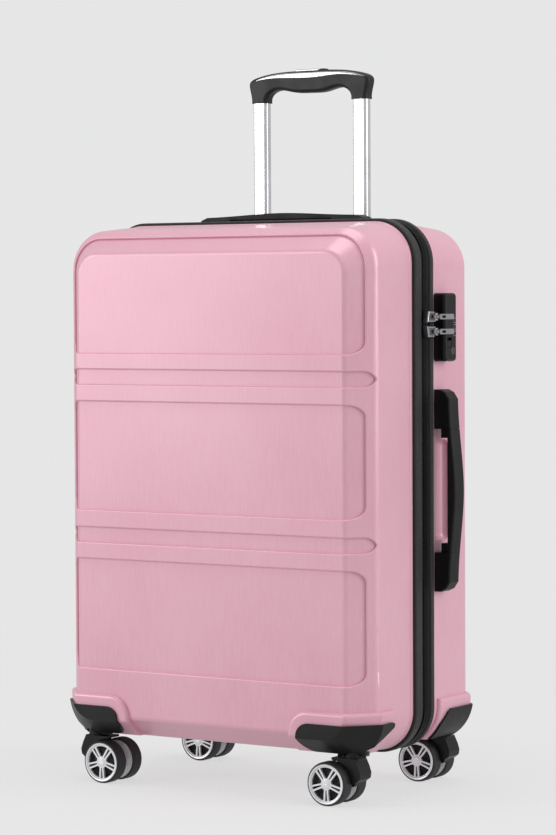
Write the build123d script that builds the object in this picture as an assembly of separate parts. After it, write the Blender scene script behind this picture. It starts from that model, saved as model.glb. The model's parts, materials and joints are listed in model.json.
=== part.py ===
from build123d import *
import math
import os

# Hard-shell spinner suitcase, 24 inch class. Millimetres, +Z up, floor at z = 0.
# The front shell faces -Y and opens on the left (-X) edge; the lock and the side handle
# are on the right (+X) edge.  Everything is laid out about the middle of the case and is
# moved by CASE_X at the end, because the side handle stands out on one side only and the
# origin is the middle of the overall box, on the floor.
CASE_X = -9.5

# --- shells ------------------------------------------------------------------------------
BAND_HALF_W = 212.0
BAND_Z0, BAND_Z1 = 49.0, 658.0
BAND_R = 50.0
MID_Z = (BAND_Z0 + BAND_Z1) / 2
RIM_Y = 27.5                      # where each shell meets the edge trim
WALL = 2.6
RIM = dict(half_w=208.4, z0=52.6, z1=654.4, r=46.4)
CREASE = dict(half_w=210.0, z0=57.0, z1=648.0, r=45.0)
FACE = dict(half_w=185.0, z0=80.0, z1=622.6, r=28.0)
CREASE_Y = 99.0
FACE_Y = {-1: 130.0, 1: 127.0}    # front shell is a little deeper than the rear one
CREASE_RUN = 0.345                # how far the crease moves in y per mm of wall offset
FACE_RUN = 0.478                  # how far the face outline moves in per mm of wall offset
CREASE_FILLET, FACE_FILLET = 14.0, 7.0

# --- pressed pattern ---------------------------------------------------------------------
PRESS = 3.0                       # depth of the pressed panels and grooves
PANEL_HALF_W = 199.0
PANELS = [(505.7, 638.0, 14.0, 36.0), (322.5, 449.3, 14.0, 14.0), (136.8, 265.0, 14.0, 14.0)]
GROOVES = [(469.3, 486.6), (284.5, 301.9)]
GROOVE_HALF_W = 206.0
PRESS_SOFT = 1.6                  # rounding of the pressed edges

# --- zip band ----------------------------------------------------------------------------
ZIP_Y = 5.0
ZIP_GAP = 0.3

# --- carry handles -----------------------------------------------------------------------
HANDLE_Y = 39.0
HANDLE_W = 22.0
HANDLE_HALF = 116.0
HANDLE_SPLIT = 71.0
SIDE_HANDLE_Z = 347.0
CUP_DEPTH = 9.0

# --- trolley -----------------------------------------------------------------------------
TUBE_X, TUBE_Y = 70.4, 98.5
OUTER_TUBE = (26.4, 18.9)
MIDDLE_TUBE = (23.2, 15.7)
INNER_TUBE = (20.0, 12.5)
TUBE_WALL = 1.3
GRIP_LEG_Z = 804.0

# --- casters -----------------------------------------------------------------------------
CASTER_X, CASTER_Y = 177.3, 100.4
WHEEL_R = 25.0
TRAIL = 22.0
WHEEL_IN, WHEEL_OUT = 6.2, 25.0
TYRE_IN_R = 22.6
RIM_DISH_R = 19.0
AXLE_R = 3.0
PIN_R = 5.0
BOSS = 5.0                        # raised pad around each corner cap
BOSS_SOFT = 4.4                   # rounding of the pad's edges
BOSS_X, BOSS_Z1 = 110.0, 107.0    # inner end and top of the pad
BOSS_REACH = {-1: 70.0, 1: 33.0}  # how near the zip band the pad comes
CAP = 3.0                         # thickness of the corner cap's skin
RUN_GAP = 0.06

# --- packing straps ----------------------------------------------------------------------
STRAP_W, STRAP_T = 25.0, 1.4
STRAP_Y = 36.0

NODES = {}


def upright(y, x=0.0, z=0.0):
    """A sketch plane facing the front: local X is +X, local Y is +Z."""
    return Plane(origin=(x, y, z), x_dir=(1, 0, 0), z_dir=(0, -1, 0))


def section(spec, inset, y):
    z0, z1 = spec["z0"] + inset, spec["z1"] - inset
    outline = RectangleRounded(2 * (spec["half_w"] - inset), z1 - z0, spec["r"] - inset)
    return (upright(y, z=(z0 + z1) / 2) * outline).face()


def tub(side, inset, rim_y=RIM_Y, soft=True):
    """One half of the case as a filled block, offset inwards by inset."""
    deep = FACE_Y[side]
    rows = [
        section(RIM, inset, side * rim_y),
        section(CREASE, inset, side * (CREASE_Y - CREASE_RUN * inset)),
        section(FACE, FACE_RUN * inset, side * (deep - inset)),
    ]
    block = loft(rows, ruled=True)
    if soft:
        crease = block.edges().filter_by(
            lambda e: abs(abs(e.center().Y) - (CREASE_Y - CREASE_RUN * inset)) < 0.2)
        block = fillet(crease, CREASE_FILLET)
        rim_of_face = block.edges().filter_by(
            lambda e: abs(abs(e.center().Y) - (deep - inset)) < 0.05)
        block = fillet(rim_of_face, FACE_FILLET)
    return block


def pressing(side, grow=0.0):
    """Upright prisms that outline the pressed panels and grooves."""
    start = side * 60.0
    blocks = []
    for z0, z1, r_low, r_high in PANELS:
        height = z1 - z0 + 2 * grow
        face = Rectangle(2 * (PANEL_HALF_W + grow), height)
        face = fillet(face.vertices().group_by(Axis.Y)[-1], r_high + grow)
        face = fillet(face.vertices().filter_by(lambda v: v.Y < -height / 2 + 0.01), r_low + grow)
        blocks.append(upright(start, z=(z0 + z1) / 2) * face)
    for z0, z1 in GROOVES:
        face = SlotOverall(2 * (GROOVE_HALF_W + grow), z1 - z0 + 2 * grow)
        blocks.append(upright(start, z=(z0 + z1) / 2) * face)
    return [extrude(b, amount=100.0, dir=(0, side, 0)) for b in blocks]


def soft_box(x0, x1, y0, y1, z0, z1, r=0.0, edges=None):
    block = Pos((x0 + x1) / 2, (y0 + y1) / 2, (z0 + z1) / 2) * Box(x1 - x0, y1 - y0, z1 - z0)
    if r:
        chosen = block.edges() if edges is None else block.edges().filter_by(edges)
        block = fillet(chosen, r)
    return block


def round_bar(x, y, z, r, length, axis):
    """Cylinder centred on (x, y, z) along a named axis."""
    turn = {"x": (0, 90, 0), "y": (90, 0, 0), "z": (0, 0, 0)}[axis]
    return Pos(x, y, z) * Rot(*turn) * Cylinder(r, length)


def cups(grow=0.0):
    """Finger hollows behind the two carry handles."""
    depth = CUP_DEPTH + grow
    y0, y1 = HANDLE_Y - 9.5 - grow, HANDLE_Y + 19.5 + grow
    side = soft_box(211 - depth, 240, y0, y1, SIDE_HANDLE_Z - 58 - grow,
                    SIDE_HANDLE_Z + 58 + grow, 7.0)
    top = soft_box(-56 - grow, 56 + grow, y0, y1, 655.0 - depth, 690, 7.0)
    return [side, top]


def boss(side, sx):
    """Raised corner pad: its front outline run back along the side, with rounded edges."""
    face = make_face(Polyline((BOSS_X, 58), (BOSS_X, BOSS_Z1), (240, BOSS_Z1), (240, 58), close=True))
    corner = face.vertices().filter_by(lambda v: v.X < BOSS_X + 1 and v.Y > BOSS_Z1 - 1)
    face = fillet(corner, 26.0)
    if sx < 0:
        face = mirror(face, about=Plane.YZ)
    reach = BOSS_REACH[side]
    prism = extrude(upright(side * reach) * face, amount=110, dir=(0, side, 0))
    pad = tub(side, -BOSS, soft=False) & prism

    def is_outer_rim(edge):
        c = edge.center()
        on_prism = (abs(c.Z - BOSS_Z1) < 0.05 or abs(c.X) < BOSS_X + 26
                    or abs(abs(c.Y) - reach) < 0.05)
        on_skin = (abs(c.Y) > FACE_Y[side] or abs(c.X) > 205
                   or (abs(c.Y) > 100 and abs(c.X) > 188))
        return on_prism and on_skin and c.Z > 58.5

    return fillet(pad.edges().filter_by(is_outer_rim), BOSS_SOFT)


def cap_prism(side, sx):
    """Outline of a corner cap: the front view outline crossed with the side view outline."""
    face = make_face(Polyline((123.5, 59), (123.5, 93.5), (240, 93.5), (240, 59), close=True))
    face = fillet(face.vertices().filter_by(lambda v: v.X < 125), 15.5)
    if sx < 0:
        face = mirror(face, about=Plane.YZ)
    body = extrude(upright(side * 20.0) * face, amount=140, dir=(0, side, 0))
    if side < 0:
        flank = [(150, 30), (150, 93.5), (79, 93.5), (74.5, 91.5), (74.5, 87.5), (87, 80),
                 (99, 71), (107, 61), (110, 50), (110, 30)]
    else:
        flank = [(150, 30), (150, 93.5), (54, 93.5), (48, 90.5), (37, 76), (36, 68), (36, 30)]
    plane = Plane(origin=(sx * 100, 0, 0), x_dir=(0, side, 0), z_dir=(side * sx, 0, 0))
    if (plane.y_dir.Z) < 0:
        plane = Plane(origin=(sx * 100, 0, 0), x_dir=(0, side, 0), z_dir=(-side * sx, 0, 0))
    cut = plane * make_face(Polyline(*flank, close=True))
    return body & extrude(cut, amount=140, dir=(sx, 0, 0))


def soften(outer):
    """Round the outer rims of the pressed panels and grooves."""
    walls = outer.faces().filter_by(
        lambda f: abs(f.normal_at().Y) < 0.02 and abs(f.center().Y) > 103)
    seen = {}
    for face in walls:
        for edge in face.edges():
            key = tuple(round(c, 1) for c in edge.center())
            seen.setdefault(key, []).append(edge)
    floor = tub(-1 if outer.center().Y < 0 else 1, PRESS)
    rims = [e[0] for e in seen.values() if len(e) == 1 and e[0].distance_to(floor) > 0.05]
    return fillet(rims, PRESS_SOFT)


def build_shells():
    """Both shells with their pressings, corner pads, finger hollows and openings."""
    filled = {}
    for side, name in ((-1, "front_shell"), (1, "rear_shell")):
        skin, deep_skin = tub(side, 0), tub(side, PRESS)
        outer = soften(deep_skin + (skin - pressing(side)))
        for sx in (-1, 1):
            outer += boss(side, sx) - skin
        cavity = tub(side, WALL + PRESS, rim_y=RIM_Y - 2)
        cavity += tub(side, WALL, rim_y=RIM_Y - 2) - pressing(side, WALL)
        if side > 0:
            outer -= cups()
            cavity -= cups(WALL)
        filled[side] = outer
        NODES[name] = outer - cavity
    return filled


def ring(y0, y1, out, depth, r=0.0):
    """A closed hoop that follows the band outline; out is how far it stands past it."""
    def hoop(grow):
        w, h = 2 * (BAND_HALF_W + grow), BAND_Z1 - BAND_Z0 + 2 * grow
        face = upright(y0, z=MID_Z) * RectangleRounded(w, h, BAND_R + grow)
        return extrude(face, amount=y1 - y0, dir=(0, 1, 0))
    body = hoop(out)
    if r:
        body = fillet(body.edges(), r)
    return body - hoop(out - depth)


def build_band():
    hinge = {}
    for name, y0, y1 in (("front", -19.0, ZIP_Y - ZIP_GAP / 2), ("rear", ZIP_Y + ZIP_GAP / 2, 19.5)):
        hinge[name] = soft_box(-214.2, -212.3, y0, y1, 135, 575)
    NODES["front_trim"] = ring(-RIM_Y, -21.5, -2.8, 3.6, 1.4)
    tape = ring(-21.5, -1.0, -2.2, 2.6)
    tape += ring(-20.8, -7.2, 0.2, 3.4, 1.4)
    NODES["front_tape"] = [tape, hinge["front"]]
    NODES["front_teeth"] = ring(-1.0, ZIP_Y - ZIP_GAP / 2, -0.2, 4.4, 1.2)
    NODES["rear_teeth"] = ring(ZIP_Y + ZIP_GAP / 2, 11.0, -0.2, 4.4, 1.2)
    tape = ring(11.0, 21.5, -2.2, 2.6)
    tape += ring(13.0, 20.6, 0.2, 3.4, 1.4)
    NODES["rear_tape"] = [tape, hinge["rear"]]
    NODES["rear_trim"] = ring(21.5, RIM_Y, -2.8, 3.6, 1.4)


def carry_handle(end_h, mid_h, bar_t, tongue_h, tongue_t, travel):
    """Ends and moving grip, in local axes: X along the handle, Y across, Z away from the
    shell.  The grip's tongues run in slots of the ends and let it lift by travel."""
    half_w = HANDLE_W / 2
    profile = make_face(
        Polyline((-HANDLE_HALF, -8), (-HANDLE_HALF, end_h * 0.30), (-HANDLE_HALF + 3, end_h * 0.62),
                 (-HANDLE_HALF + 11, end_h * 0.90))
        + Spline((-HANDLE_HALF + 11, end_h * 0.90), (-HANDLE_SPLIT, end_h), (0, mid_h),
                 (HANDLE_SPLIT, end_h), (HANDLE_HALF - 11, end_h * 0.90))
        + Polyline((HANDLE_HALF - 11, end_h * 0.90), (HANDLE_HALF - 3, end_h * 0.62),
                   (HANDLE_HALF, end_h * 0.30), (HANDLE_HALF, -8), (-HANDLE_HALF, -8)))
    solid = extrude(Plane.XZ * profile, amount=half_w, both=True)
    top_edges = solid.edges().filter_by(
        lambda e: abs(abs(e.center().Y) - half_w) < 0.01 and e.center().Z > end_h * 0.2)
    solid = fillet(top_edges, 2.0)
    ends = []
    for s in (-1, 1):
        block = solid & soft_box(*sorted((s * HANDLE_SPLIT, s * 130)), -20, 20, -9, 60)
        slot = soft_box(*sorted((s * 60, s * 92)), -6.3, 6.3, tongue_h - 0.3,
                        tongue_h + tongue_t + travel + 0.3)
        ends.append(block - slot)
    gap = 0.3
    bar = solid & soft_box(-HANDLE_SPLIT + gap, HANDLE_SPLIT - gap, -20, 20, mid_h - bar_t, 60)
    under = bar.edges().filter_by(lambda e: abs(e.center().Z - (mid_h - bar_t)) < 0.01
                                  and abs(abs(e.center().Y) - half_w) < 0.01)
    bar = fillet(under, 2.0)
    for s in (-1, 1):
        leg = soft_box(*sorted((s * 60.5, s * (HANDLE_SPLIT - gap))), -6, 6, tongue_h,
                       mid_h - bar_t + 2)
        tongue = soft_box(*sorted((s * 60.5, s * 90)), -6, 6, tongue_h, tongue_h + tongue_t)
        bar += leg + tongue
    return ends, bar


def build_handles(rear_block):
    """The side handle stands off the shell; the top one lies low over it."""
    keep = rear_block + cups(0.0)
    ends, bar = carry_handle(19.5, 25.0, 11.0, 3.8, 3.0, 10.0)
    side = Plane(origin=(211.0, HANDLE_Y, SIDE_HANDLE_Z), x_dir=(0, 0, 1), z_dir=(1, 0, 0))
    NODES["side_handle_ends"] = [(side.location * e) - keep for e in ends]
    NODES["side_handle_grip"] = side.location * bar
    ends, bar = carry_handle(11.0, 13.8, 8.5, 1.5, 2.2, 5.0)
    top = Plane(origin=(0, HANDLE_Y, 655.2), x_dir=(1, 0, 0), z_dir=(0, 0, 1))
    NODES["top_handle_ends"] = [(top.location * e) - keep for e in ends]
    NODES["top_handle_grip"] = top.location * bar


def build_lock(rear_block):
    """Combination lock with key override, on the rear shell beside the zip."""
    y0, y1, z0, z1, x1 = 27.8, 55.0, 495.0, 573.5, 224.0
    body = soft_box(205.0, x1, y0, y1, z0, z1)
    body = fillet(body.edges().filter_by(Axis.X), 4.5)
    body = fillet(body.edges().filter_by(lambda e: abs(e.center().X - x1) < 0.01), 4.0)
    body -= rear_block
    dial_x, dial_y, dial_r, dial_t = 218.4, 49.6, 6.2, 4.8
    for name, z in (("dial_low", 527.0), ("dial_mid", 534.5), ("dial_top", 542.0)):
        body -= round_bar(dial_x, dial_y, z, dial_r + 0.4, dial_t + 0.6, "z")
        dial = round_bar(dial_x, dial_y, z, dial_r, dial_t, "z")
        dial = chamfer(dial.edges(), 0.5)
        for k in range(10):
            angle = math.radians(36 * k)
            notch = round_bar(dial_x + dial_r * math.cos(angle), dial_y + dial_r * math.sin(angle),
                              z, 0.55, dial_t + 1, "z")
            dial -= notch
        NODES[name] = dial
    # Release slide: a ribbed pad in a shallow track on the face.
    body -= soft_box(221.0, 226.0, 32.0, 42.0, 511.0, 522.5, 0.0)
    pad = soft_box(221.2, 224.0, 32.3, 41.7, 511.3, 519.0, 0.8)
    for k in range(3):
        pad -= soft_box(223.5, 226, 31, 43, 513.0 + 1.9 * k, 513.8 + 1.9 * k)
    NODES["lock_button"] = pad
    # Key barrel, flush with the face.
    key_y, key_z = 46.0, 507.0
    body -= round_bar(220.0, key_y, key_z, 4.3, 14.0, "x")
    barrel = round_bar(219.0, key_y, key_z, 4.2, 9.6, "x")
    barrel -= soft_box(222.0, 226, key_y - 0.6, key_y + 0.6, key_z - 2.6, key_z + 2.6)
    NODES["lock_key"] = barrel
    NODES["lock_body"] = body


def build_zip():
    """Two sliders on the straight run of the zip beside the lock, with their pulls."""
    pin_x, pin_y = 222.4, 8.0
    for name, z, sign in (("upper", 546.5, 1), ("lower", 529.5, -1)):
        body = soft_box(212.5, 219.4, -4.5, 14.5, z - 6.5, z + 6.5)
        nose = make_face(Polyline((-4.5, -6.5), (14.5, -6.5), (11.5, 6.5), (-1.5, 6.5), close=True))
        side = Plane(origin=(205, 0, z), x_dir=(0, 1, 0), z_dir=(1, 0, 0))
        if sign < 0:
            nose = mirror(nose, about=Plane.XZ)
        body &= extrude(side * nose, amount=30)
        body = fillet(body.edges().filter_by(lambda e: abs(e.center().X - 219.4) < 0.01), 1.4)
        for ear in (-3.1, 3.1):
            body += soft_box(218.4, 224.4, pin_y - 2.6, pin_y + 2.6, z + ear - 1.2, z + ear + 1.2, 0.5)
        body += round_bar(pin_x, pin_y, z, 1.2, 8.0, "z")
        NODES["slider_" + name] = body
        eye = round_bar(pin_x, pin_y, z, 2.6, 3.2, "z")
        arm = soft_box(224.4, 226.2, pin_y + 3.4, 44.0, z - 3.1, z + 3.1)
        arm = fillet(arm.edges().filter_by(Axis.X), 2.2)
        arm -= soft_box(223, 228, 17.0, 25.0, z - 1.4, z + 1.4)
        neck = soft_box(222.4, 225.4, pin_y - 1.6, pin_y + 4.4, z - 1.6, z + 1.6)
        pull = eye + neck + arm
        pull -= round_bar(pin_x, pin_y, z, 1.2 + RUN_GAP, 10, "z")
        NODES["pull_" + name] = pull


def flat_tube(size, z0, z1, wall=None):
    """Upright aluminium tube with rounded corners, at the right-hand tube's place."""
    w, d = size
    face = RectangleRounded(w, d, 4.0 if w < 22 else 4.6)
    body = extrude(Pos(TUBE_X, TUBE_Y, z0) * face, amount=z1 - z0)
    if wall:
        bore = RectangleRounded(w - 2 * wall, d - 2 * wall, 3.2)
        body -= extrude(Pos(TUBE_X, TUBE_Y, z0 - 1) * bore, amount=z1 - z0 + 2)
    return body


def pair(body):
    return [body, mirror(body, about=Plane.YZ)]


def build_trolley(rear_block):
    NODES["outer_tubes"] = pair(flat_tube(OUTER_TUBE, 70, 655, TUBE_WALL))
    NODES["middle_tubes"] = pair(flat_tube(MIDDLE_TUBE, 84, 659, TUBE_WALL))
    NODES["inner_tubes"] = pair(flat_tube(INNER_TUBE, 226, 822, TUBE_WALL))
    # Bezel that the tubes leave the case through, with a raised socket round each.
    bezel = tub(1, -4.5, soft=False) & soft_box(-94, 94, 80, 120, 620, 670, 8.0, Axis.Z)
    bezel -= rear_block
    for sx in (-1, 1):
        x, y = sx * TUBE_X, TUBE_Y
        socket = soft_box(x - 18, x + 18, y - 13.2, y + 13.2, 628, 660, 6.0, Axis.Z)
        socket = fillet(socket.edges().group_by(Axis.Z)[-1], 2.0)
        NODES["rear_shell"] -= socket
        bezel += socket
    bezel -= pair(flat_tube(OUTER_TUBE, 600, 655))
    bezel -= pair(flat_tube((MIDDLE_TUBE[0] + 0.7, MIDDLE_TUBE[1] + 0.7), 650, 670))
    NODES["trolley_collar"] = bezel
    foot = soft_box(-88, 88, TUBE_Y - 13, TUBE_Y + 13, 50, 82, 4.0, Axis.Z) & tub(1, WALL + 0.1)
    foot -= pair(flat_tube(OUTER_TUBE, 70, 90))
    NODES["tube_foot"] = foot


def build_grip():
    """Swept black grip with a wavy underside, a bright crescent inlay and a release button."""
    y_mid, depth = TUBE_Y, 17.0
    leg = GRIP_LEG_Z
    outer = Spline((-81.8, leg), (-83.4, leg + 14), (-84.2, leg + 25), (-72, leg + 31.4),
                   (-48, leg + 35.4), (0, leg + 36.7), (48, leg + 35.4), (72, leg + 31.4),
                   (84.2, leg + 25), (83.4, leg + 14), (81.8, leg))
    right_leg = Polyline((81.8, leg), (59.0, leg))
    under = Spline((59.0, leg), (58.2, leg + 7), (50, leg + 13.8), (22, leg + 11.0),
                   (0, leg + 10.2), (-22, leg + 11.4), (-50, leg + 13.4), (-58.2, leg + 7),
                   (-59.0, leg))
    left_leg = Polyline((-59.0, leg), (-81.8, leg))
    face = make_face(outer + right_leg + under + left_leg)
    body = extrude(upright(y_mid + depth / 2) * face, amount=depth, dir=(0, -1, 0))
    long_edges = body.edges().filter_by(lambda e: e.length > 100)
    body = fillet(long_edges, 4.5)
    # Crescent inlay let into the front top edge.
    crescent = make_face(
        Spline((-75, leg + 26.6), (-54, leg + 32.6), (-14, leg + 34.4), (27, leg + 34.2),
               (60, leg + 31.8), (80, leg + 26.0))
        + Spline((80, leg + 26.0), (60, leg + 29.2), (42, leg + 30.4), (16, leg + 28.8),
                 (-8, leg + 28.2), (-47, leg + 29.4), (-75, leg + 26.6)))
    inlay = extrude(upright(y_mid - depth / 2 - 5) * crescent, amount=7.0, dir=(0, 1, 0))
    inlay = inlay & body
    body -= extrude(upright(y_mid - depth / 2 - 5) * crescent, amount=7.0, dir=(0, 1, 0))
    # Push button in a pocket of the top.
    top_z = leg + 36.7
    body -= soft_box(-20.3, 13.3, y_mid - 4.9, y_mid + 4.9, top_z - 8, top_z + 5)
    button = soft_box(-20, 13, y_mid - 4.6, y_mid + 4.6, top_z - 4.5, top_z + 1.8, 1.4)
    lip = soft_box(14.2, 22.0, y_mid - 4.8, y_mid + 4.8, top_z - 3, top_z + 1.6, 1.2)
    body += lip
    body -= pair(flat_tube(INNER_TUBE, 700, 822))
    NODES["grip"] = body
    NODES["grip_inlay"] = inlay
    NODES["grip_button"] = button


def wheel_profile(points, y_side):
    """Turn a half profile (distance from the axle, distance from the fork) about Y."""
    face = make_face(Polyline(*[(r, y_side * y) for r, y in points], close=True))
    return revolve(face, Axis.Y)


def build_wheel(y_side):
    """One wheel at the origin, axle along Y: bright rim with five pairs of spokes, black tyre."""
    y_in, y_out = WHEEL_IN, WHEEL_OUT
    bore = AXLE_R + RUN_GAP
    tyre = wheel_profile([(TYRE_IN_R, y_in + 0.6), (23.6, y_in + 0.6), (24.6, y_in + 1.8),
                          (WHEEL_R, y_in + 4), (WHEEL_R, y_out - 4), (24.6, y_out - 1.8),
                          (23.6, y_out - 0.7), (TYRE_IN_R, y_out - 0.7)], y_side)
    rim = wheel_profile([(bore, y_in), (12, y_in), (TYRE_IN_R, y_in + 1.0),
                         (TYRE_IN_R, y_out - 0.6), (22.0, y_out), (20.6, y_out - 0.2),
                         (19.8, y_out - 1.6), (5.6, y_out - 1.4), (4.2, y_out - 0.6),
                         (0, y_out - 0.4), (0, y_out - 1.6), (bore, y_out - 1.6)], y_side)
    rim -= wheel_profile([(6.0, y_in + 2.4), (20.2, y_in + 3.0), (20.2, y_out - 4.4),
                          (6.0, y_out - 4.4)], y_side)
    gaps = Circle(RIM_DISH_R) - Circle(6.8)
    for k in range(5):
        for s in (-1, 1):
            bar = Pos(13.0, s * 2.15) * Rot(0, 0, s * 4.0) * Rectangle(19.0, 2.0)
            gaps -= Rot(0, 0, 72 * k - 90) * bar
    for gap in gaps.faces():
        rim -= Pos(0, y_side * (y_out - 2.0) + 4.0, 0) * extrude(Plane.XZ * gap, amount=8.0)
    return tyre, rim


def build_casters(filled):
    housings = {-1: [], 1: []}
    wheels = {s: build_wheel(s) for s in (-1, 1)}
    for side in (-1, 1):
        for sx in (-1, 1):
            tag = ("f" if side < 0 else "r") + ("l" if sx < 0 else "r")
            cx, cy = sx * CASTER_X, side * CASTER_Y
            wx = cx - sx * TRAIL
            # Housing: corner cap skin plus the swivel socket that goes up into the case.
            skin = tub(side, -BOSS - CAP, soft=False) - tub(side, -BOSS - 0.08, soft=False)
            skin &= cap_prism(side, sx)
            socket = round_bar(cx, cy, 72.5, 18.0, 35.0, "z")
            outside = tub(side, -BOSS - CAP, soft=False)
            housing = skin + (socket & outside)
            housing -= round_bar(cx, cy, 56.3, 13.0, 20.0, "z")
            housing -= round_bar(cx, cy, 76.0, PIN_R + RUN_GAP, 40, "z")
            housings[side].append(housing)
            shell = "front_shell" if side < 0 else "rear_shell"
            NODES[shell] -= round_bar(cx, cy, 52.5, 18.05, 75.1, "z")
            # Fork: neck, top bridge, web between the wheels, hood over their outer side.
            neck = round_bar(cx, cy, 58.5, 10.4, 15.0, "z")
            bridge = soft_box(cx - 11, cx + 11, cy - 12, cy + 12, 50.9, 53.8, 4.0, Axis.Z)
            web_face = make_face(Polyline(
                (wx - sx * 8, 20), (wx - sx * 8, 31), (cx - sx * 12, 53.8), (cx + sx * 9, 53.8),
                (cx + sx * 12, 38), (cx + sx * 4, 22), (wx + sx * 4, 16), (wx - sx * 3, 15),
                close=True))
            web = extrude(upright(cy + 5.4) * web_face, amount=10.8, dir=(0, -1, 0))
            hood_face = make_face(Polyline(
                (cx - sx * 4, 53.8), (cx + sx * 9, 53.8), (cx + sx * 13.5, 44.5),
                (cx + sx * 16, 37), (cx + sx * 15, 31), (cx + sx * 9, 26.5),
                (cx + sx * 2, 24.5), (wx, 24.5), (wx, 53.8), close=True))
            hood = extrude(upright(cy + 12) * hood_face, amount=24, dir=(0, -1, 0))
            hood -= round_bar(wx, cy, WHEEL_R, WHEEL_R + 1.2, 60, "y")
            hood -= soft_box(*sorted((wx, wx - sx * 60)), cy - 30, cy + 30, 0, 80)
            fork = neck + bridge + web + hood
            fork -= round_bar(wx, cy, WHEEL_R, AXLE_R, 60, "y")
            fork -= round_bar(cx, cy, 60, PIN_R, 30, "z")
            NODES[f"fork_{tag}"] = fork
            axle = round_bar(wx, cy, WHEEL_R, AXLE_R, 2 * (WHEEL_OUT - 2.0), "y")
            pin = round_bar(cx, cy, 69.0, PIN_R, 46.0, "z")
            pin += round_bar(cx, cy, 91.5, 8.0, 2.4, "z")
            pin &= soft_box(cx - 20, cx + 20, cy - 20, cy + 20, 45.0, 100)
            NODES[f"steel_{tag}"] = [axle, pin]
            for s, letter in ((-1, "a"), (1, "b")):
                place = Pos(wx, cy, WHEEL_R)
                tyre, rim = wheels[s]
                NODES[f"tyre_{tag}_{letter}"] = place * tyre
                NODES[f"rim_{tag}_{letter}"] = place * rim
    NODES["front_housings"] = housings[-1]
    NODES["rear_housings"] = housings[1]


def build_interior():
    """Linings follow the inside of each shell; crossed straps hold the load in the rear half."""
    gap, cloth = 1.3, 1.2
    for side, name in ((-1, "front_lining"), (1, "rear_lining")):
        a, b = WALL + PRESS + gap, WALL + PRESS + gap + cloth
        solid = tub(side, a, rim_y=RIM_Y + 2, soft=False)
        hollow = tub(side, b, rim_y=RIM_Y, soft=False)
        for sx in (-1, 1):
            cx, cy = sx * CASTER_X, side * CASTER_Y
            hollow -= round_bar(cx, cy, 60.0, 22.0, 76.0, "z")
            solid -= round_bar(cx, cy, 60.0, 20.5, 73.0, "z")
        if side > 0:
            hollow -= soft_box(-92, 92, 82.4, 140, 30, 690, 6.0, Axis.Z)
            solid -= soft_box(-90.6, 90.6, 83.8, 140, 30, 690, 5.0, Axis.Z)
            hollow -= cups(WALL + gap + cloth)
            solid -= cups(WALL + gap)
        NODES[name] = solid - hollow
    straps = []
    for sx in (-1, 1):
        for sz in (-1, 1):
            start, end = (sx * 20, sz * 16), (sx * 184, sz * 248)
            run = math.hypot(end[0] - start[0], end[1] - start[1])
            angle = math.degrees(math.atan2(end[1] - start[1], end[0] - start[0]))
            strap = Box(run, STRAP_T, STRAP_W)
            middle = ((start[0] + end[0]) / 2, STRAP_Y, MID_Z + (start[1] + end[1]) / 2)
            straps.append(Pos(*middle) * Rot(0, -angle, 0) * strap)
    NODES["straps"] = straps
    buckle = soft_box(-26, 26, STRAP_Y - 4.5, STRAP_Y + 4.5, MID_Z - 19, MID_Z + 19, 3.0)
    for s in straps:
        buckle -= s
    NODES["strap_buckle"] = buckle


def solids_of(thing):
    """All solids of a shape or list, touching ones joined, as one exportable compound."""
    parts = thing if isinstance(thing, (list, tuple)) else [thing]
    found = []
    for part in parts:
        found.extend(part.solids())
    return found


def main():
    filled = build_shells()
    build_band()
    build_handles(filled[1])
    build_lock(filled[1])
    build_zip()
    build_trolley(filled[1])
    build_grip()
    build_casters(filled)
    build_interior()
    os.makedirs("parts", exist_ok=True)
    for name, thing in NODES.items():
        parts = solids_of(thing)
        whole = parts[0] if len(parts) == 1 else Compound(children=parts)
        export_step(Pos(CASE_X, 0, 0) * whole, f"parts/{name}.step")


main()
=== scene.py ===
import json
import math

import bpy
from mathutils import Matrix, Vector, noise
from mathutils.bvhtree import BVHTree


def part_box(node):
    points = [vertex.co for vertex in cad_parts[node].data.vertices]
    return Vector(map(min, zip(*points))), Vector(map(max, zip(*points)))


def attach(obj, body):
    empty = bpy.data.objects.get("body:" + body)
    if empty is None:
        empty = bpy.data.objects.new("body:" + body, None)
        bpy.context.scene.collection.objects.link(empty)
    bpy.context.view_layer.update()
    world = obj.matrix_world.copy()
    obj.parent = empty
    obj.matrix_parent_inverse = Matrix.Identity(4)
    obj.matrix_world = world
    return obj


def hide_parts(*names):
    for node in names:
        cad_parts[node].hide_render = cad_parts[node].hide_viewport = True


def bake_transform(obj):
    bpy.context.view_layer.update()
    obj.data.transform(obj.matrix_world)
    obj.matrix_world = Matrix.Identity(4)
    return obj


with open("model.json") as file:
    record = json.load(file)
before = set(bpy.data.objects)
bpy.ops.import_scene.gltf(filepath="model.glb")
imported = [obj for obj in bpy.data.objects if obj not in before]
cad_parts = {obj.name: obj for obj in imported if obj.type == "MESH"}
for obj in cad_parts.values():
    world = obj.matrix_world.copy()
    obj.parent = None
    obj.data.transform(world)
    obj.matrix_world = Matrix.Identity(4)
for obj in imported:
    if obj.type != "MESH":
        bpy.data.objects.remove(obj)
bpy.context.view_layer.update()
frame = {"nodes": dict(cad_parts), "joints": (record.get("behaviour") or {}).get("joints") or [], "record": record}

MM = 0.001

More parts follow.
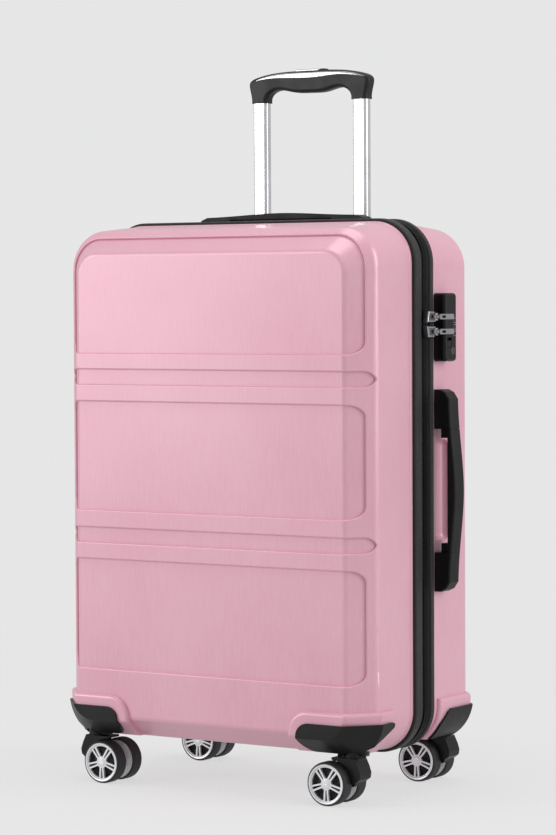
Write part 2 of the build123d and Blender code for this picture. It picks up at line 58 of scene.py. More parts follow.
# --- places read from the frame -------------------------------------------------------------
ZIP_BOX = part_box("rear_teeth")
ZIP_SUNK = 0.2 * MM                          # the CAD teeth lie this far inside the band's outline
CASE_X = (ZIP_BOX[0].x + ZIP_BOX[1].x) / 2
HALF_W = (ZIP_BOX[1].x - ZIP_BOX[0].x) / 2 + ZIP_SUNK
BAND_Z0, BAND_Z1 = ZIP_BOX[0].z - ZIP_SUNK, ZIP_BOX[1].z + ZIP_SUNK
MID_Z = (BAND_Z0 + BAND_Z1) / 2
BAND_R = 50 * MM
ZIP_Y = 5 * MM
HINGE = next(j for j in frame["joints"] if j["name"] == "lid_hinge")
HINGE_X = HINGE["pos_m"][0]

# --- camera ---------------------------------------------------------------------------------
CAMERA_AZIMUTH, CAMERA_HEIGHT, CAMERA_ROLL = 32.87, 2.25, -0.28   # degrees
CAMERA_DISTANCE = 3.5101
CAMERA_TARGET = Vector((CASE_X + 9.7 * MM, 6.3 * MM, 428.3 * MM))
LENS, SENSOR = 128.72, 36.0
BACKDROP = (0.795, 0.795, 0.797)
AMBIENT = 0.55                               # light from all round, under the softboxes
FLOOR_COVER = 0.22                           # how much of the surroundings the floor hides


# --- materials ------------------------------------------------------------------------------
class Finish:
    """A procedural material: one Principled shader fed by textures whose sizes are in metres."""

    def __init__(self, name, color, roughness, metallic=0.0, **shader):
        self.material = bpy.data.materials.new(name)
        self.material.use_nodes = True
        self.tree = self.material.node_tree
        self.shader = self.tree.nodes["Principled BSDF"]
        self.coords = self.tree.nodes.new("ShaderNodeTexCoord")
        self.set("Base Color", (*color, 1.0))
        self.set("Roughness", roughness)
        self.set("Metallic", metallic)
        for socket, value in shader.items():
            self.set(socket.replace("_", " "), value)

    def set(self, socket, value):
        self.shader.inputs[socket].default_value = value

    def link(self, output, socket):
        self.tree.links.new(output, self.shader.inputs[socket])

    def node(self, kind, wires=(), **settings):
        made = self.tree.nodes.new(kind)
        for key, value in settings.items():
            setattr(made, key, value)
        for socket, source in wires:
            if isinstance(source, bpy.types.NodeSocket):
                self.tree.links.new(source, made.inputs[socket])
            else:
                made.inputs[socket].default_value = source
        return made

    def place(self, stretch=(1, 1, 1), on="Object"):
        wires = [("Vector", self.coords.outputs[on]), ("Scale", stretch)]
        return self.node("ShaderNodeMapping", wires).outputs["Vector"]

    def grain(self, size, stretch=(1, 1, 1), detail=2.0, on="Object"):
        """Soft noise, about 0 to 1, whose blotches are size metres across."""
        wires = [("Vector", self.place(stretch, on)), ("Scale", 1.0 / size), ("Detail", detail)]
        return self.node("ShaderNodeTexNoise", wires).outputs["Fac"]

    def cells(self, size, stretch=(1, 1, 1), on="Object"):
        """Pebbles size metres across: 0 at each one's middle."""
        wires = [("Vector", self.place(stretch, on)), ("Scale", 1.0 / size)]
        return self.node("ShaderNodeTexVoronoi", wires).outputs["Distance"]

    def math(self, operation, a, b=0.0):
        return self.node("ShaderNodeMath", [(0, a), (1, b)], operation=operation).outputs[0]

    def waves(self, axis, pitch, on="UV"):
        """A sine along one coordinate, from -1 to 1."""
        split = self.node("ShaderNodeSeparateXYZ", [(0, self.coords.outputs[on])])
        turns = self.math("MULTIPLY", split.outputs[axis], 2 * math.pi / pitch)
        return self.math("SINE", turns)

    def spread(self, value, low, high, start=0.0, end=1.0):
        wires = [("Value", value), ("From Min", start), ("From Max", end), ("To Min", low),
                 ("To Max", high)]
        return self.node("ShaderNodeMapRange", wires).outputs[0]

    def between(self, share, color_a, color_b):
        mix = self.node("ShaderNodeMix", data_type="RGBA")
        for index, source in ((0, share), (6, color_a), (7, color_b)):
            if isinstance(source, bpy.types.NodeSocket):
                self.tree.links.new(source, mix.inputs[index])
            elif index:
                mix.inputs[index].default_value = (*source, 1.0)
        return mix.outputs[2]

    def bump(self, height, depth, strength=1.0):
        """Relief depth metres deep, over any relief made before."""
        wires = [("Height", height), ("Distance", depth), ("Strength", strength)]
        before = self.shader.inputs["Normal"].links
        if before:
            wires.append(("Normal", before[0].from_socket))
        self.link(self.node("ShaderNodeBump", wires).outputs["Normal"], "Normal")


BRUSHED_SHEEN = (0.93, 0.80, 0.84)           # the colour of the shell's brightest brushed lines: painted sheen along the brushed texture


def rose_shell(name, pale, deep, gloss):
    """Rose polycarbonate: a fine upright brushed texture under a thin clear film."""
    f = Finish(name, pale, 0.36, 0.12, Coat_Weight=gloss, Coat_Roughness=0.22)
    cloud = f.grain(0.16, detail=3.0)
    brushed = f.grain(0.0006, (1, 1, 0.03), detail=3.0)
    fleck = f.grain(0.0022, detail=1.0)
    tint = f.between(f.spread(cloud, 0, 1, 0.3, 0.7), pale, deep)
    tint = f.between(f.spread(fleck, 0.0, 0.10, 0.35, 0.75), tint, tuple(c * 0.72 for c in pale))
    # The brushed lines are painted paler and whiter: painted sheen along the shell's real brushed texture.
    f.link(f.between(f.spread(brushed, 0.0, 0.16, 0.35, 0.75), tint, BRUSHED_SHEEN),
           "Base Color")
    f.link(f.spread(brushed, 0.30, 0.44, 0.3, 0.7), "Roughness")
    f.bump(brushed, 0.00004, 0.5)
    return f.material


def moulded_black(name, shade, rough, pebble, depth, worn=0.12):
    """Black moulded plastic with a spark-eroded texture and a little wear."""
    dark = (shade, shade, shade * 1.06)
    f = Finish(name, dark, rough, 0.0, Specular_IOR_Level=0.26)
    pebbles = f.cells(pebble)
    patch = f.grain(0.02, detail=4.0)
    scuffs = f.spread(patch, 0.0, worn, 0.52, 0.78)
    light = (shade * 2.6 + 0.012, shade * 2.6 + 0.012, shade * 2.7 + 0.012)
    f.link(f.between(scuffs, dark, light), "Base Color")
    f.link(f.spread(patch, rough - 0.05, rough + 0.09, 0.3, 0.7), "Roughness")
    f.bump(f.math("SUBTRACT", 1.0, pebbles), depth, 0.6)
    return f.material


def brushed_metal(name, color, rough, stretch, line=0.0003):
    """Metal with fine drawing or turning lines that run along the short side of stretch."""
    f = Finish(name, color, rough, 1.0)
    lines = f.grain(line, stretch, detail=3.0)
    stain = f.grain(0.03, detail=2.0)
    darker = tuple(c * 0.86 for c in color)
    f.link(f.between(f.spread(stain, 0, 1, 0.35, 0.7), color, darker), "Base Color")
    f.link(f.spread(lines, rough - 0.06, rough + 0.10, 0.3, 0.7), "Roughness")
    f.bump(lines, 0.000008, 0.3)
    return f.material


def woven(name, shade, pitch, rough, lift, twill=False):
    """Cloth: threads over and under along both ways of the piece's own surface, with painted highlight on their
    crests and painted shade between them.
    """
    f = Finish(name, shade, rough, 0.0, Specular_IOR_Level=0.3, Sheen_Weight=0.12,
               Sheen_Roughness=0.4)
    across, along = f.waves(0, pitch), f.waves(1, pitch)
    weave = f.math("MULTIPLY", across, along)
    if twill:
        weave = f.math("SINE", f.math("MULTIPLY", f.math("ADD", across, along), 1.6))
    fuzz = f.grain(0.0008, detail=3.0)
    blotch = f.grain(0.03, detail=2.0)
    # Painted highlight on the weave's crests and painted shade in its hollows, mixed with random tone from the
    # fuzz.
    high = tuple(min(1.0, c * 1.7 + 0.006) for c in shade)
    low = tuple(c * 0.55 for c in shade)
    weave_light_and_fuzz = f.spread(f.math("ADD", weave, fuzz), 0, 1, -0.6, 1.6)
    f.link(f.between(weave_light_and_fuzz, low, high), "Base Color")
    f.link(f.spread(blotch, rough - 0.06, rough + 0.08, 0.3, 0.7), "Roughness")
    f.bump(weave, lift, 0.8)
    f.bump(fuzz, lift * 0.6, 0.4)
    return f.material


def silver_rim():
    """Bright silver paint with fine turning lines round the axle."""
    f = Finish("silver_paint", (0.86, 0.86, 0.89), 0.30, 0.45, Coat_Weight=0.5,
               Coat_Roughness=0.12)
    flake = f.cells(0.0005)
    dust = f.grain(0.006, detail=4.0)
    f.link(f.between(f.spread(dust, 0.0, 0.5, 0.55, 0.9), (0.88, 0.88, 0.91), (0.55, 0.55, 0.58)),
           "Base Color")
    f.link(f.spread(flake, 0.20, 0.34, 0.0, 0.6), "Roughness")
    return f.material


def tyre_rubber():
    f = Finish("tyre_rubber", (0.018, 0.018, 0.02), 0.62)
    dust = f.grain(0.008, detail=4.0)
    fine = f.grain(0.0007, detail=2.0)
    f.link(f.between(f.spread(dust, 0.0, 0.35, 0.5, 0.8), (0.016, 0.016, 0.018),
                     (0.07, 0.068, 0.065)), "Base Color")
    f.link(f.spread(dust, 0.52, 0.74, 0.3, 0.7), "Roughness")
    f.bump(fine, 0.00008, 0.6)
    return f.material


ROSE_PALE, ROSE_DEEP = (0.81, 0.43, 0.53), (0.755, 0.37, 0.468)
FINISHES = {
    "shell": rose_shell("rose_shell", ROSE_PALE, ROSE_DEEP, 0.35),
    "trim": rose_shell("rose_rim", (0.81, 0.43, 0.52), ROSE_DEEP, 0.5),
    "tape": woven("zip_tape", (0.010, 0.010, 0.011), 0.0007, 0.44, 0.00010),
    "teeth": moulded_black("zip_coil", 0.010, 0.34, 0.0006, 0.00002),
    "lock": moulded_black("lock_black", 0.004, 0.30, 0.0007, 0.00002, 0.03),
    "lock_slide": moulded_black("lock_slide_black", 0.012, 0.45, 0.0005, 0.00002),
    "key_metal": brushed_metal("key_nickel", (0.17, 0.17, 0.18), 0.30, (1, 0.2, 0.2)),
    "dial": moulded_black("dial_grey", 0.03, 0.40, 0.0005, 0.00002),
    "zip_metal": brushed_metal("plated_zip", (0.46, 0.46, 0.48), 0.17, (1, 1, 1)),
    "handle_end": moulded_black("handle_end_black", 0.005, 0.42, 0.0008, 0.00003),
    "handle_grip": moulded_black("soft_grip_black", 0.006, 0.46, 0.0011, 0.00006, 0.05),
    "tube": brushed_metal("drawn_aluminium", (0.83, 0.83, 0.86), 0.27, (1, 1, 0.02)),
    "bezel": moulded_black("bezel_black", 0.012, 0.42, 0.0008, 0.00003),
    "grip": moulded_black("trolley_grip_black", 0.016, 0.36, 0.0009, 0.00003, 0.06),
    "inlay": brushed_metal("satin_inlay", (0.60, 0.60, 0.62), 0.27, (0.04, 1, 1)),
    "button": brushed_metal("button_silver", (0.74, 0.74, 0.77), 0.28, (0.05, 1, 1)),
    "cap": moulded_black("cap_black", 0.011, 0.38, 0.0009, 0.00004, 0.14),
    "lining": woven("lining_cloth", (0.13, 0.13, 0.145), 0.0011, 0.70, 0.00012, twill=True),
    "strap": woven("webbing", (0.030, 0.030, 0.034), 0.0016, 0.62, 0.00025),
    "buckle": moulded_black("buckle_black", 0.024, 0.36, 0.0007, 0.00002),
    "fork": moulded_black("fork_black", 0.008, 0.36, 0.0009, 0.00004, 0.12),
    "steel": brushed_metal("turned_steel", (0.52, 0.52, 0.54), 0.30, (1, 0.1, 1)),
    "tyre": tyre_rubber(),
    "rim": silver_rim(),
}
THREAD = moulded_black("stitch_thread", 0.022, 0.60, 0.0004, 0.00004)
# Black for the dish behind each wheel's spokes: painted shade in the rim's hollow.
RECESS_SHADE = moulded_black("wheel_recess_shade_black", 0.012, 0.46, 0.0008, 0.00004, 0.10)


def dress_cad_nodes():
    for row in frame["record"]["subparts"]:
        mesh = frame["nodes"][row["node"]].data
        mesh.materials.clear()
        mesh.materials.append(FINISHES[row["material_slot"]])


# --- building pieces ------------------------------------------------------------------------
def piece(name, points, faces, finish, body, uvs=None, smooth=True):
    """A mesh object that rides on a CAD body. uvs holds one (u, v) in metres per point."""
    mesh = bpy.data.meshes.new(name)
    mesh.from_pydata([tuple(p) for p in points], [], faces)
    mesh.materials.append(finish)
    if uvs:
        layer = mesh.uv_layers.new(name="metres")
        for loop in mesh.loops:
            layer.data[loop.index].uv = uvs[loop.vertex_index]
    mesh.polygons.foreach_set("use_smooth", [smooth] * len(mesh.polygons))
    made = bpy.data.objects.new(name, mesh)
    bpy.context.scene.collection.objects.link(made)
    if body:
        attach(made, body)
    return made


def thicken(made, thickness, offset=-1.0):
    solid = made.modifiers.new("cloth", "SOLIDIFY")
    solid.thickness = thickness
    solid.offset = offset
    return made


class Outline:
    """A rounded rectangle in the case's width and height, walked by length from bottom middle."""

    def __init__(self, grow=0.0, half_w=HALF_W, z0=BAND_Z0, z1=BAND_Z1, r=BAND_R):
        self.half_w, self.z0, self.z1, self.r = half_w + grow, z0 - grow, z1 + grow, r + grow
        self.flat_w = self.half_w - self.r
        self.flat_h = self.z1 - self.z0 - 2 * self.r
        self.turn = math.pi / 2 * self.r
        self.length = 4 * self.flat_w + 2 * self.flat_h + 4 * self.turn

    def at(self, s):
        """The place (x, z) and the outward direction (x, z) at length s."""
        s %= self.length
        runs = [(self.flat_w, 0), (self.turn, 1), (self.flat_h, 0), (self.turn, 1),
                (2 * self.flat_w, 0), (self.turn, 1), (self.flat_h, 0), (self.turn, 1),
                (self.flat_w, 0)]
        x, z, heading = 0.0, self.z0, 0.0
        for length, turns in runs:
            part = min(s, length)
            if turns:
                swept = part / self.r
                x += self.r * (math.sin(heading + swept) - math.sin(heading))
                z += self.r * (math.cos(heading) - math.cos(heading + swept))
                heading += swept
            else:
                x += part * math.cos(heading)
                z += part * math.sin(heading)
            s -= part
            if s <= 1e-12:
                break
        return Vector((CASE_X + x, 0, z)), Vector((math.sin(heading), 0, -math.cos(heading)))


BAND = Outline()
HINGE_SPAN = (135 * MM, 575 * MM)            # heights between which cloth is the hinge


def beside_hinge(place):
    return place.x < CASE_X and HINGE_SPAN[0] < place.z < HINGE_SPAN[1]


def smooth_profile(points, steps=3):
    """A Catmull-Rom curve through (y, out) points."""
    ends = [points[0], *points, points[-1]]
    made = []
    for a, b, c, d in zip(ends, ends[1:], ends[2:], ends[3:]):
        for k in range(steps):
            t = k / steps
            made.append(tuple(
                0.5 * (2 * q + (r - p) * t + (2 * p - 5 * q + 4 * r - s) * t * t
                       + (3 * q - p - 3 * r + s) * t ** 3)
                for p, q, r, s in zip(a, b, c, d)))
    made.append(points[-1])
    return made


def sweep_band(name, profile, finish, body, step=5 * MM, ripple=0.0):
    """A strip whose (y, out) profile is carried round the band."""
    count = round(BAND.length / step)
    width = [0.0]
    for a, b in zip(profile, profile[1:]):
        width.append(width[-1] + math.dist(a, b))
    points, uvs, faces = [], [], []
    for i in range(count + 1):
        s = BAND.length * i / count
        place, outward = BAND.at(s)
        for (y, out), v in zip(profile, width):
            wave = ripple * noise.noise(Vector((s * 35, y * 160, out * 90)))
            points.append(place + outward * (out + wave) + Vector((0, y, 0)))
            uvs.append((s, v))
    row = len(profile)
    for i in range(count):
        for j in range(row - 1):
            a, b = i * row + j, (i + 1) * row + j
            faces.append((a, a + 1, b + 1, b))
    last = count * row
    joined = [tuple(p - last if p >= last else p for p in f) for f in faces]
    strip = piece(name, points[:last], joined, finish, body)
    layer = strip.data.uv_layers.new(name="metres")
    for face, corners in zip(strip.data.polygons, faces):
        for loop, corner in zip(face.loop_indices, corners):
            layer.data[loop].uv = uvs[corner]
    return strip, width[-1]


def bars_along(name, y0, y1, low, high, width, pitch, finish, body, shift=0.0, skip=None,
               lean=0.0):
    """Small bars with rounded tops that lie across the band, one every pitch round it."""
    count = round(BAND.length / pitch)
    points, faces = [], []
    section = [(-0.5, 0.0), (0.5, 0.0), (0.5, 0.62), (0.27, 1.0), (-0.27, 1.0), (-0.5, 0.62)]
    for i in range(count):
        s = BAND.length * (i + shift) / count
        place, outward = BAND.at(s)
        if skip and skip(place):
            continue
        along = Vector((-outward.z, 0, outward.x))
        first = len(points)
        for k, y in enumerate((y0, y1)):
            for w, h in section:
                spot = place + outward * (low + h * (high - low)) + along * (w * width + k * lean)
                points.append(spot + Vector((0, y, 0)))
        n = len(section)
        faces.append(tuple(first + k for k in range(n)))
        faces.append(tuple(first + n + k for k in reversed(range(n))))
        for k in range(n):
            a, b = first + k, first + (k + 1) % n
            faces.append((a, a + n, b + n, b))
    return piece(name, points, faces, finish, body, smooth=False)


# --- the zip band ---------------------------------------------------------------------------
TAPE_THICK, HINGE_THICK = 0.6 * MM, 0.7 * MM
STITCH_HALF, STITCH_LONG, STITCH_PITCH = 0.22, 2.3 * MM, 3.3 * MM    # the first one in mm
COIL_LOW, COIL_HIGH = -3.1 * MM, -0.45 * MM                          # from the band's outline
COIL_WIRE, COIL_PITCH = 1.25 * MM, 2.0 * MM


def zip_tapes():
    """Each half's cloth: a corded ridge beside the shell, then the flat tape under the coil."""
    # (y, out) in mm; the front half lies on the -Y side of the zip line.
    profiles = {
        "front": [(-21.45, -4.3), (-21.4, -1.4), (-21.0, -0.5), (-19.8, 0.05), (-17.0, 0.2),
                  (-14.0, 0.15), (-11.0, 0.2), (-8.3, 0.0), (-7.2, -0.7), (-6.9, -1.9),
                  (-5.6, -2.5), (-3.2, -2.7), (-1.0, -3.0), (1.4, -3.3), (4.4, -3.4)],
        "rear": [(5.6, -3.4), (8.4, -3.3), (10.8, -3.0), (12.2, -2.4), (12.9, -1.7),
                 (13.2, -0.7), (14.2, 0.0), (16.8, 0.2), (19.4, 0.05), (20.6, -0.5),
                 (21.4, -1.4), (21.45, -4.3)],
    }
    rows = {"front": (-20.5, -6.2), "rear": (20.9, 12.3)}
    bodies = {"front": "lid", "rear": "case"}
    for half, profile in profiles.items():
        curve = smooth_profile([(y * MM, out * MM) for y, out in profile])
        tape, width = sweep_band(f"{half}_zip_cloth", curve, FINISHES["tape"], bodies[half],
                                 ripple=0.10 * MM)
        thicken(tape, TAPE_THICK, 1.0)
        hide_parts(f"{half}_tape")
        for k, y in enumerate(rows[half]):
            out = -0.55 if k == 0 else -2.25
            low, high = (out - 0.35) * MM, (out + 0.28) * MM
            bars_along(
                f"{half}_stitches_{k + 1}", (y - STITCH_HALF) * MM, (y + STITCH_HALF) * MM, low,
                high, STITCH_LONG, STITCH_PITCH, THREAD, bodies[half], skip=beside_hinge)


def zip_coils():
    """Two rows of coil turns that meet at the zip line; none are needed along the cloth hinge."""
    gap = 0.2
    rows = {"front": (-0.6, ZIP_Y / MM - gap, "lid", 0.0, 0.35),
            "rear": (10.6, ZIP_Y / MM + gap, "case", 0.5, -0.35)}
    for half, (root, head, body, shift, lean) in rows.items():
        turns = bars_along(f"{half}_zip_coil", root * MM, head * MM, COIL_LOW, COIL_HIGH,
                           COIL_WIRE, COIL_PITCH, FINISHES["teeth"], body, shift,
                           beside_hinge, lean * MM)
        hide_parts(f"{half}_teeth")


def hinge_cloth():
    """The strip of cloth that joins the halves opposite the lock."""
    y0, y1 = -19.4 * MM, 19.9 * MM
    z0, z1 = HINGE_SPAN[0] - 3 * MM, HINGE_SPAN[1] + 3 * MM
    wide, tall = 22, 90
    points, faces, uvs = [], [], []
    for i in range(tall + 1):
        z = z0 + (z1 - z0) * i / tall
        for j in range(wide + 1):
            y = y0 + (y1 - y0) * j / wide
            edge = min(j, wide - j) / 3
            sink = 0.9 * MM * max(0.0, 1 - edge) ** 2
            pucker = 0.22 * MM * noise.noise(Vector((0, y * 90, z * 60)))
            x = HINGE_X + 1.3 * MM + sink + pucker
            points.append((x, y, z))
            uvs.append((y, z))
    for i in range(tall):
        for j in range(wide):
            a = i * (wide + 1) + j
            faces.append((a, a + wide + 1, a + wide + 2, a + 1))
    cloth = piece("hinge_cloth", points, faces, FINISHES["tape"], None, uvs)
    thicken(cloth, HINGE_THICK)
    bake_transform(cloth)
    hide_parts("front_tape", "rear_tape")


# --- inside ---------------------------------------------------------------------------------
LINING_THICK, LINING_CLEAR = 0.5 * MM, 0.9 * MM
LINING_RIM_Y, LINING_DEEP_Y = 30.4 * MM, 96 * MM
CORE_Y = 40 * MM                             # depth from which rays look for the lining's room
SMOOTHING = 5
SOCKET_CLEAR = 9.0 * MM                      # how far the lining stands off a caster socket
HALF_TUBE = 13.2 * MM                        # half the width of an outer trolley tube


def socket_nearness(place, socket):
    """1 beside or above a caster socket, falling to 0 away from it."""
    aside = (40 * MM - (place.xy - socket).length) / (12 * MM)
    above = (125 * MM - place.z) / (15 * MM)
    return max(0.0, min(1.0, aside, above))


def lining(half, side, body):
    """Cloth let into a shell: loops are pushed out until they meet the CAD lining's room."""
    node = frame["nodes"][f"{half}_lining"]
    room = BVHTree.FromPolygons([v.co for v in node.data.vertices],
                                [tuple(p.vertices) for p in node.data.polygons])
    rim_y = side * LINING_RIM_Y
    deep_y = side * LINING_DEEP_Y
    inner = Outline(-9.5 * MM)
    around, side_rows, back_rows = 220, 14, 34
    points, uvs = [], []
    for row in range(side_rows):
        y = rim_y + (deep_y - rim_y) * row / side_rows
        for i in range(around):
            place, outward = inner.at(inner.length * i / around)
            start = place - outward * 42 * MM + Vector((0, y, 0))
            hit = room.ray_cast(start, outward, 0.06)[0]
            spot = hit - outward * LINING_CLEAR if hit else place + Vector((0, y, 0))
            points.append(spot)
            uvs.append((inner.length * i / around, abs(y)))
    middle = Vector((CASE_X, 0, MID_Z))
    for row in range(back_rows):
        share = 1 - (row / back_rows) ** 1.25
        for i in range(around):
            place, outward = inner.at(inner.length * i / around)
            place = middle + (place - outward * 1.2 * MM - middle) * share
            start = place + Vector((0, side * CORE_Y, 0))
            hit = room.ray_cast(start, Vector((0, side, 0)), 0.12)[0]
            depth = hit.y - side * LINING_CLEAR if hit else deep_y
            points.append(Vector((place.x, depth, place.z)))
            uvs.append((place.x, place.z))
    centre = len(points)
    hit = room.ray_cast(middle + Vector((0, side * CORE_Y, 0)), Vector((0, side, 0)), 0.12)[0]
    points.append(Vector((middle.x, hit.y - side * LINING_CLEAR, middle.z)))
    uvs.append((middle.x, middle.z))
    rows = side_rows + back_rows
    faces = []
    for row in range(rows - 1):
        for i in range(around):
            a, b = row * around + i, row * around + (i + 1) % around
            faces.append((a, b, b + around, a + around))
    last = (rows - 1) * around
    for i in range(around):
        faces.append((last + i, last + (i + 1) % around, centre))
    # Cloth bridges hard corners: each point moves towards its neighbours' middle.
    for _ in range(SMOOTHING):
        moved = list(points)
        for row in range(1, rows - 1):
            for i in range(around):
                near = (points[(row - 1) * around + i], points[(row + 1) * around + i],
                        points[row * around + (i + 1) % around],
                        points[row * around + (i - 1) % around])
                moved[row * around + i] = (points[row * around + i] + sum(near, Vector()) / 4) / 2
        points = moved
    for f in faces:
        a, b, c = (points[k] for k in f[:3])
    # Slack: soft folds that stand only into the case, and padding over the caster sockets and
    # the feet of the trolley's tubes.
    sockets = [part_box(f"fork_{'f' if side < 0 else 'r'}{end}") for end in "lr"]
    sockets = [((a + b) / 2).xy for a, b in sockets]
    if side > 0:
        left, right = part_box("outer_tubes")
        tube_y = (left.y + right.y) / 2
        sockets += [Vector((left.x + HALF_TUBE, tube_y)), Vector((right.x - HALF_TUBE, tube_y))]
    core = Vector((CASE_X, side * CORE_Y, MID_Z))
    for k, p in enumerate(points):
        if k < around:
            continue
        fold = noise.noise(Vector((p.x * 16, p.y * 30, p.z * 11)))
        fine = noise.noise(Vector((p.x * 55, p.y * 60, p.z * 40)))
        lift = (1.1 * abs(fold) + 0.35 * abs(fine)) * MM
        near_socket = max(socket_nearness(p, socket) for socket in sockets)
        points[k] = p + (core - p).normalized() * (lift + SOCKET_CLEAR * near_socket)
    if side > 0:
        faces = [tuple(reversed(f)) for f in faces]
    cloth = piece(f"{half}_lining_cloth", points, faces, FINISHES["lining"], body, uvs)
    layer = cloth.data.uv_layers["metres"]
    for face in cloth.data.polygons:             # the weave runs on where the loops close
        columns = [v % around for v in face.vertices]
        if max(face.vertices) < side_rows * around and {0, around - 1} <= set(columns):
            for loop, column in zip(face.loop_indices, columns):
                if column == 0:
                    layer.data[loop].uv.x += inner.length
    thicken(cloth, LINING_THICK)
    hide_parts(f"{half}_lining")
    rim = rim_binding(half, inner, rim_y, body)


def rim_binding(half, inner, rim_y, body):
    """A folded tape sewn over the lining's edge."""
    around, corners = 220, 10
    points, faces, uvs = [], [], []
    for i in range(around):
        place, outward = inner.at(inner.length * i / around)
        for k in range(corners):
            angle = 2 * math.pi * k / corners
            out = 0.9 * MM * math.cos(angle)
            along = 3.6 * MM * math.sin(angle) * (1 if rim_y > 0 else -1)
            points.append(place + outward * out + Vector((0, rim_y + along * 0.8, 0)))
            uvs.append((inner.length * i / around, 6 * MM * k / corners))
    for i in range(around):
        for k in range(corners):
            a, b = i * corners + k, i * corners + (k + 1) % corners
            c, d = (a + corners) % (around * corners), (b + corners) % (around * corners)
            faces.append((a, c, d, b) if rim_y > 0 else (b, d, c, a))
    return piece(f"{half}_lining_binding", points, faces, FINISHES["strap"], body, uvs)


def packing_straps():
    """Four webbing straps from the buckle to the corners of the rear half."""
    low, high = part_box("strap_buckle")
    middle = (low + high) / 2
    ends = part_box("straps")
    half = 12.2 * MM
    start = Vector((14 * MM, 0, 11 * MM))
    corner = Vector(((ends[1].x - ends[0].x) / 2 - 7 * MM, 0, (ends[1].z - ends[0].z) / 2 - 4 * MM))
    for sx in (-1, 1):
        for sz in (-1, 1):
            a = middle + Vector((sx * start.x, 0, sz * start.z))
            b = middle + Vector((sx * corner.x, 0, sz * corner.z))
            along = (b - a).normalized()
            length = (b - a).length
            across = Vector((along.z, 0, -along.x))
            points, faces, uvs = [], [], []
            steps, ribs = 60, 8
            for i in range(steps + 1):
                t = i / steps
                sag = 0.5 * MM * math.sin(math.pi * t) * math.sin(9 * t + sx)
                for j in range(ribs + 1):
                    w = (2 * j / ribs - 1) * half
                    crown = 0.12 * MM * math.cos(math.pi * w / half)
                    points.append(a + along * length * t + across * w
                                  + Vector((0, sag + crown, 0)))
                    uvs.append((w, length * t))
            for i in range(steps):
                for j in range(ribs):
                    p = i * (ribs + 1) + j
                    faces.append((p, p + 1, p + ribs + 2, p + ribs + 1))
            tag = ("l" if sx < 0 else "r") + ("b" if sz < 0 else "t")
            strap = piece(f"strap_{tag}", points, faces, FINISHES["strap"], "case", uvs)
            thicken(strap, 1.2 * MM, 0.0)
            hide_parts("straps")
            tacks = strap_tacks(tag, b - along * 16 * MM, along, across)


def buckle_release():
    """The ribbed release plate on the buckle's open side: a crowned rounded plate."""
    low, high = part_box("strap_buckle")
    middle = (low + high) / 2
    half_w, half_h, corner, crown = 17 * MM, 11.5 * MM, 4 * MM, 2.0 * MM
    outline = Outline(0.0, half_w, -half_h, half_h, corner)
    around, rings = 96, 14
    points, faces = [], []
    for ring in range(rings + 1):
        share = ring / rings
        for i in range(around):
            place, _ = outline.at(outline.length * i / around)
            x, z = (place.x - CASE_X) * (1 - share), place.z * (1 - share)
            lift = crown * min(1.0, share * 4) ** 0.6
            if abs(x) < 10 * MM and abs(z) < 8.5 * MM:
                lift += 0.6 * MM * max(0.0, math.sin(x * 2 * math.pi / (4 * MM)))
            points.append(Vector((middle.x + x, low.y + 0.3 * MM - lift, middle.z + z)))
    for ring in range(rings):
        for i in range(around):
            a, b = ring * around + i, ring * around + (i + 1) % around
            faces.append((a, b, b + around, a + around))
    piece("buckle_release", points, faces, FINISHES["buckle"], "case")


def strap_tacks(tag, place, along, across):
    """A sewn box with a cross through it, in short thread stitches on both faces."""
    w, h = 8.5 * MM, 11 * MM
    corners = [place + across * (sx * w) + along * (sy * h)
               for sx, sy in ((-1, -1), (1, -1), (1, 1), (-1, 1))]
    lines = [(corners[k], corners[(k + 1) % 4]) for k in range(4)]
    lines += [(corners[0], corners[2]), (corners[1], corners[3])]
    points, faces = [], []
    for a, b in lines:
        way = (b - a).normalized()
        side = way.cross(Vector((0, 1, 0)))
        count = round((b - a).length / (3.0 * MM))
        for k in range(count):
            middle = a + (b - a) * (k + 0.5) / count
            for face_side in (-1, 1):
                first = len(points)
                for u, v, lift in ((-1, -1, 0.55), (1, -1, 0.55), (1, 1, 0.55), (-1, 1, 0.55),
                                   (-0.7, 0, 0.95), (0.7, 0, 0.95)):
                    points.append(middle + way * (u * 1.1 * MM) + side * (v * 0.3 * MM)
                                  + Vector((0, face_side * lift * MM, 0)))
                for f in ((0, 1, 5, 4), (2, 3, 4, 5), (3, 0, 4), (1, 2, 5), (0, 3, 2, 1)):
                    faces.append(tuple(first + c for c in f))
    return piece(f"strap_tacks_{tag}", points, faces, THREAD, "case", smooth=False)


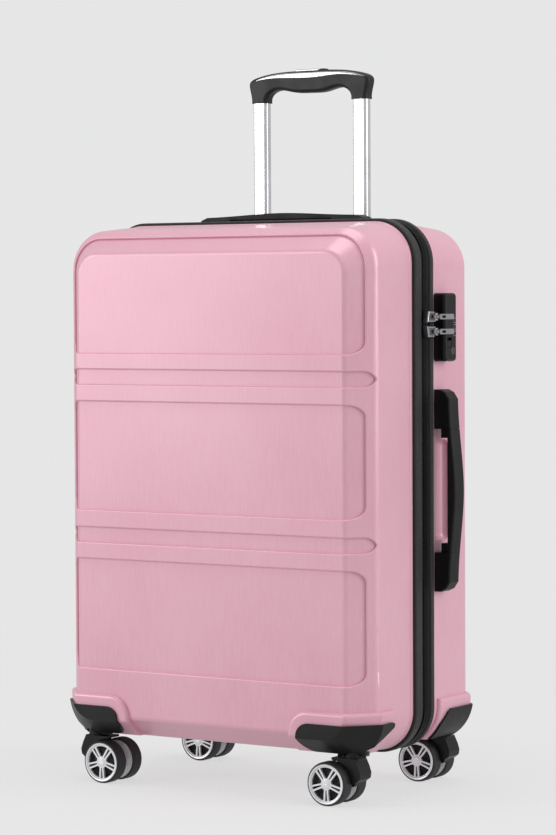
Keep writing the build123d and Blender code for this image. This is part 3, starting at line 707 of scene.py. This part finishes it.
# --- wheels ---------------------------------------------------------------------------------
def wheel_recess_shades():
    """A pleated dark dish behind each wheel's spokes: a dark sheet that stands for the painted shade in the rim's
    hollow.
    """
    tags = [c + a for c in ("fl_", "fr_", "rl_", "rr_") for a in "ab"]
    # (distance from the axle, distance behind the rim's outer face) in mm
    profile = [(6.3, 5.2), (8.0, 5.6), (11.0, 6.6), (15.0, 7.4), (17.6, 7.1), (19.3, 5.9),
               (20.0, 4.7), (20.0, 5.6), (19.0, 7.2), (17.6, 8.2), (15.0, 8.5), (11.0, 7.8),
               (8.0, 6.8), (6.3, 6.4)]
    around, pleats, pleat_depth = 120, 10, 0.55
    inner_r, face_width = 6.3, 13.7
    for tag in tags:
        low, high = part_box(f"rim_{tag}")
        outer = low.y if tag.endswith("a") else high.y
        inward = 1 if tag.endswith("a") else -1
        middle = (low + high) / 2
        points, faces = [], []
        for i in range(around):
            turn = 2 * math.pi * i / around
            for r, back in profile:
                swell = math.sin(math.pi * (r - inner_r) / face_width)
                crest = pleat_depth * math.cos(pleats * turn) * swell
                points.append(Vector((middle.x + r * MM * math.sin(turn),
                                      outer + inward * (back + crest) * MM,
                                      middle.z - r * MM * math.cos(turn))))
        n = len(profile)
        for i in range(around):
            for k in range(n):
                a, b = i * n + k, i * n + (k + 1) % n
                c, d = (a + n) % (around * n), (b + n) % (around * n)
                faces.append((a, c, d, b) if inward > 0 else (b, d, c, a))
        piece(f"wheel_recess_shade_{tag}", points, faces, RECESS_SHADE, f"wheel_{tag}")


# --- stage, light and camera ----------------------------------------------------------------
def floor():
    """A pale floor that fades into the pale surroundings away from the case."""
    f = Finish("studio_floor", (0.86, 0.86, 0.86), 0.62, 0.0, Specular_IOR_Level=0.1)
    speck = f.grain(0.004, detail=2.0)
    f.link(f.between(speck, (0.85, 0.85, 0.85), (0.87, 0.87, 0.87)), "Base Color")
    f.bump(speck, 0.00005, 0.2)
    split = f.node("ShaderNodeSeparateXYZ", [(0, f.coords.outputs["Object"])])
    reach = f.math("SQRT", f.math("ADD", f.math("MULTIPLY", split.outputs[0], split.outputs[0]),
                                  f.math("MULTIPLY", split.outputs[1], split.outputs[1])))
    f.link(f.spread(reach, FLOOR_COVER, 0.0, 0.5, 1.9), "Alpha")
    bpy.ops.mesh.primitive_circle_add(vertices=96, radius=2.4, fill_type="NGON",
                                      location=(0, 0, 0))
    ground = bpy.context.object
    ground.name = "studio_floor"
    ground.data.materials.append(f.material)


def softbox(name, place, aim, size, power):
    light = bpy.data.lights.new(name, "AREA")
    light.shape = "RECTANGLE"
    light.size, light.size_y = size
    light.energy = power
    lamp = bpy.data.objects.new(name, light)
    lamp.location = place
    lamp.rotation_euler = (Vector(aim) - Vector(place)).to_track_quat("-Z", "Y").to_euler()
    bpy.context.scene.collection.objects.link(lamp)


def studio():
    world = bpy.data.worlds.new("studio")
    bpy.context.scene.world = world
    world.use_nodes = True
    sky = world.node_tree.nodes["Background"]
    sky.inputs["Color"].default_value = (*BACKDROP, 1)
    dim = world.node_tree.nodes.new("ShaderNodeBackground")
    dim.inputs["Color"].default_value = (AMBIENT, AMBIENT, AMBIENT, 1)
    seen = world.node_tree.nodes.new("ShaderNodeLightPath")
    mix = world.node_tree.nodes.new("ShaderNodeMixShader")
    wires = world.node_tree.links
    wires.new(seen.outputs["Is Camera Ray"], mix.inputs[0])
    wires.new(dim.outputs[0], mix.inputs[1])
    wires.new(sky.outputs[0], mix.inputs[2])
    wires.new(mix.outputs[0], world.node_tree.nodes["World Output"].inputs["Surface"])
    middle = (0, 0, 0.4)
    softbox("key", (-2.45, -2.6, 1.2), middle, (1.6, 2.0), 43)
    softbox("side", (3.1, 0.7, 1.5), middle, (1.2, 2.4), 43)
    softbox("top", (0.0, -0.3, 3.0), middle, (1.8, 1.8), 24)
    bpy.context.scene.view_settings.view_transform = "Standard"


def camera():
    az, up = math.radians(CAMERA_AZIMUTH), math.radians(CAMERA_HEIGHT)
    back = Vector((math.sin(az) * math.cos(up), -math.cos(az) * math.cos(up), math.sin(up)))
    lens = bpy.data.cameras.new("camera")
    lens.lens, lens.sensor_width = LENS, SENSOR
    lens.clip_end = 50
    eye = bpy.data.objects.new("camera", lens)
    eye.location = CAMERA_TARGET + back * CAMERA_DISTANCE
    turn = (-back).to_track_quat("-Z", "Y").to_matrix().to_4x4()
    eye.rotation_euler = (turn @ Matrix.Rotation(math.radians(CAMERA_ROLL), 4, "Z")).to_euler()
    bpy.context.scene.collection.objects.link(eye)
    bpy.context.scene.camera = eye


camera()
dress_cad_nodes()
zip_tapes()
zip_coils()
hinge_cloth()
lining("front", -1, "lid")
lining("rear", 1, "case")
packing_straps()
buckle_release()
wheel_recess_shades()
floor()
studio()
